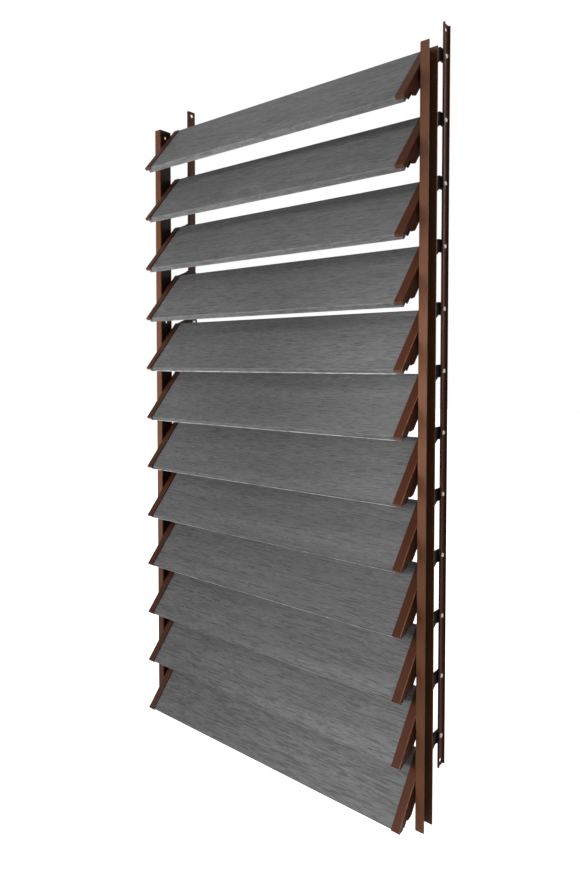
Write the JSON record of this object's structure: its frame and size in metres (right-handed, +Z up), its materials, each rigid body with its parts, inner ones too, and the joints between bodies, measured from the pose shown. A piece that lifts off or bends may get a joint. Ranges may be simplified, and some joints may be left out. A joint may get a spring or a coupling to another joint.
{
  "type": "vertical louvre screen",
  "caption": "Vertical screen of tilting wood-grain boards in folded steel clips between two channel jambs, turned together by link bars behind the jambs.",
  "frame": {"origin": "middle of the screen's width and depth, at the height of the lower ends of the jambs", "axes": "+X along the boards to the right as seen from the front, +Y to the back where the link bars are, +Z up"},
  "size_m": [0.646, 0.1426, 1.3006],
  "materials": {
    "grey_board": "embossed wood grain, matt",
    "brown_powder_coat": "satin",
    "bright_rivet": "bright",
    "black_nylon": "matt",
    "plated_screw": "zinc plated"
  },
  "bodies": {
    "frame": {"left_jamb": "brown_powder_coat", "left_pivot_rivets": "bright_rivet", "left_pivot_bushes": "black_nylon", "right_jamb": "brown_powder_coat", "right_pivot_rivets": "bright_rivet", "right_pivot_bushes": "black_nylon"},
    "louvre_01": {"slat_board_01": "grey_board", "left_clip_01": "brown_powder_coat", "right_clip_01": "brown_powder_coat", "clip_screws_01": "plated_screw"},
    "louvre_02": {"slat_board_02": "grey_board", "left_clip_02": "brown_powder_coat", "right_clip_02": "brown_powder_coat", "clip_screws_02": "plated_screw"},
    "louvre_03": {"slat_board_03": "grey_board", "left_clip_03": "brown_powder_coat", "right_clip_03": "brown_powder_coat", "clip_screws_03": "plated_screw"},
    "louvre_04": {"slat_board_04": "grey_board", "left_clip_04": "brown_powder_coat", "right_clip_04": "brown_powder_coat", "clip_screws_04": "plated_screw"},
    "louvre_05": {"slat_board_05": "grey_board", "left_clip_05": "brown_powder_coat", "right_clip_05": "brown_powder_coat", "clip_screws_05": "plated_screw"},
    "louvre_06": {"slat_board_06": "grey_board", "left_clip_06": "brown_powder_coat", "right_clip_06": "brown_powder_coat", "clip_screws_06": "plated_screw"},
    "louvre_07": {"slat_board_07": "grey_board", "left_clip_07": "brown_powder_coat", "right_clip_07": "brown_powder_coat", "clip_screws_07": "plated_screw"},
    "louvre_08": {"slat_board_08": "grey_board", "left_clip_08": "brown_powder_coat", "right_clip_08": "brown_powder_coat", "clip_screws_08": "plated_screw"},
    "louvre_09": {"slat_board_09": "grey_board", "left_clip_09": "brown_powder_coat", "right_clip_09": "brown_powder_coat", "clip_screws_09": "plated_screw"},
    "louvre_10": {"slat_board_10": "grey_board", "left_clip_10": "brown_powder_coat", "right_clip_10": "brown_powder_coat", "clip_screws_10": "plated_screw"},
    "louvre_11": {"slat_board_11": "grey_board", "left_clip_11": "brown_powder_coat", "right_clip_11": "brown_powder_coat", "clip_screws_11": "plated_screw"},
    "louvre_12": {"slat_board_12": "grey_board", "left_clip_12": "brown_powder_coat", "right_clip_12": "brown_powder_coat", "clip_screws_12": "plated_screw"},
    "left_link": {"left_link_bar": "brown_powder_coat", "left_link_rivets": "bright_rivet"},
    "right_link": {"right_link_bar": "brown_powder_coat", "right_link_rivets": "bright_rivet"}
  },
  "joints": [
    {"name": "louvre_01_tilt", "type": "hinge", "parent": "frame", "child": "louvre_01", "pos_m": [0, -0.01237, 1.1952], "axis": [1, 0, 0], "range_deg": [-50.5, 28]},
    {"name": "louvre_02_tilt", "type": "hinge", "parent": "frame", "child": "louvre_02", "pos_m": [0, -0.01237, 1.0922], "axis": [1, 0, 0], "range_deg": [-50.5, 28]},
    {"name": "louvre_03_tilt", "type": "hinge", "parent": "frame", "child": "louvre_03", "pos_m": [0, -0.01237, 0.9892], "axis": [1, 0, 0], "range_deg": [-50.5, 28]},
    {"name": "louvre_04_tilt", "type": "hinge", "parent": "frame", "child": "louvre_04", "pos_m": [0, -0.01237, 0.8862], "axis": [1, 0, 0], "range_deg": [-50.5, 28]},
    {"name": "louvre_05_tilt", "type": "hinge", "parent": "frame", "child": "louvre_05", "pos_m": [0, -0.01237, 0.7832], "axis": [1, 0, 0], "range_deg": [-50.5, 28]},
    {"name": "louvre_06_tilt", "type": "hinge", "parent": "frame", "child": "louvre_06", "pos_m": [0, -0.01237, 0.6802], "axis": [1, 0, 0], "range_deg": [-50.5, 28]},
    {"name": "louvre_07_tilt", "type": "hinge", "parent": "frame", "child": "louvre_07", "pos_m": [0, -0.01237, 0.5772], "axis": [1, 0, 0], "range_deg": [-50.5, 28]},
    {"name": "louvre_08_tilt", "type": "hinge", "parent": "frame", "child": "louvre_08", "pos_m": [0, -0.01237, 0.4742], "axis": [1, 0, 0], "range_deg": [-50.5, 28]},
    {"name": "louvre_09_tilt", "type": "hinge", "parent": "frame", "child": "louvre_09", "pos_m": [0, -0.01237, 0.3712], "axis": [1, 0, 0], "range_deg": [-50.5, 28]},
    {"name": "louvre_10_tilt", "type": "hinge", "parent": "frame", "child": "louvre_10", "pos_m": [0, -0.01237, 0.2682], "axis": [1, 0, 0], "range_deg": [-50.5, 28]},
    {"name": "louvre_11_tilt", "type": "hinge", "parent": "frame", "child": "louvre_11", "pos_m": [0, -0.01237, 0.1652], "axis": [1, 0, 0], "range_deg": [-50.5, 28]},
    {"name": "louvre_12_tilt", "type": "hinge", "parent": "frame", "child": "louvre_12", "pos_m": [0, -0.01237, 0.0622], "axis": [1, 0, 0], "range_deg": [-50.5, 28]},
    {"name": "left_link_swing", "type": "hinge", "parent": "louvre_01", "child": "left_link", "pos_m": [-0.304, 0.06134, 1.24861], "axis": [1, 0, 0], "range_deg": [-28, 50.5]},
    {"name": "right_link_swing", "type": "hinge", "parent": "louvre_01", "child": "right_link", "pos_m": [0.304, 0.06134, 1.24861], "axis": [1, 0, 0], "range_deg": [-28, 50.5]}
  ],
  "couplings": [
    {"joint": "louvre_02_tilt", "follows": "louvre_01_tilt", "ratio": 1},
    {"joint": "louvre_03_tilt", "follows": "louvre_01_tilt", "ratio": 1},
    {"joint": "louvre_04_tilt", "follows": "louvre_01_tilt", "ratio": 1},
    {"joint": "louvre_05_tilt", "follows": "louvre_01_tilt", "ratio": 1},
    {"joint": "louvre_06_tilt", "follows": "louvre_01_tilt", "ratio": 1},
    {"joint": "louvre_07_tilt", "follows": "louvre_01_tilt", "ratio": 1},
    {"joint": "louvre_08_tilt", "follows": "louvre_01_tilt", "ratio": 1},
    {"joint": "louvre_09_tilt", "follows": "louvre_01_tilt", "ratio": 1},
    {"joint": "louvre_10_tilt", "follows": "louvre_01_tilt", "ratio": 1},
    {"joint": "louvre_11_tilt", "follows": "louvre_01_tilt", "ratio": 1},
    {"joint": "louvre_12_tilt", "follows": "louvre_01_tilt", "ratio": 1},
    {"joint": "left_link_swing", "follows": "louvre_01_tilt", "ratio": -1},
    {"joint": "right_link_swing", "follows": "louvre_01_tilt", "ratio": -1}
  ]
}
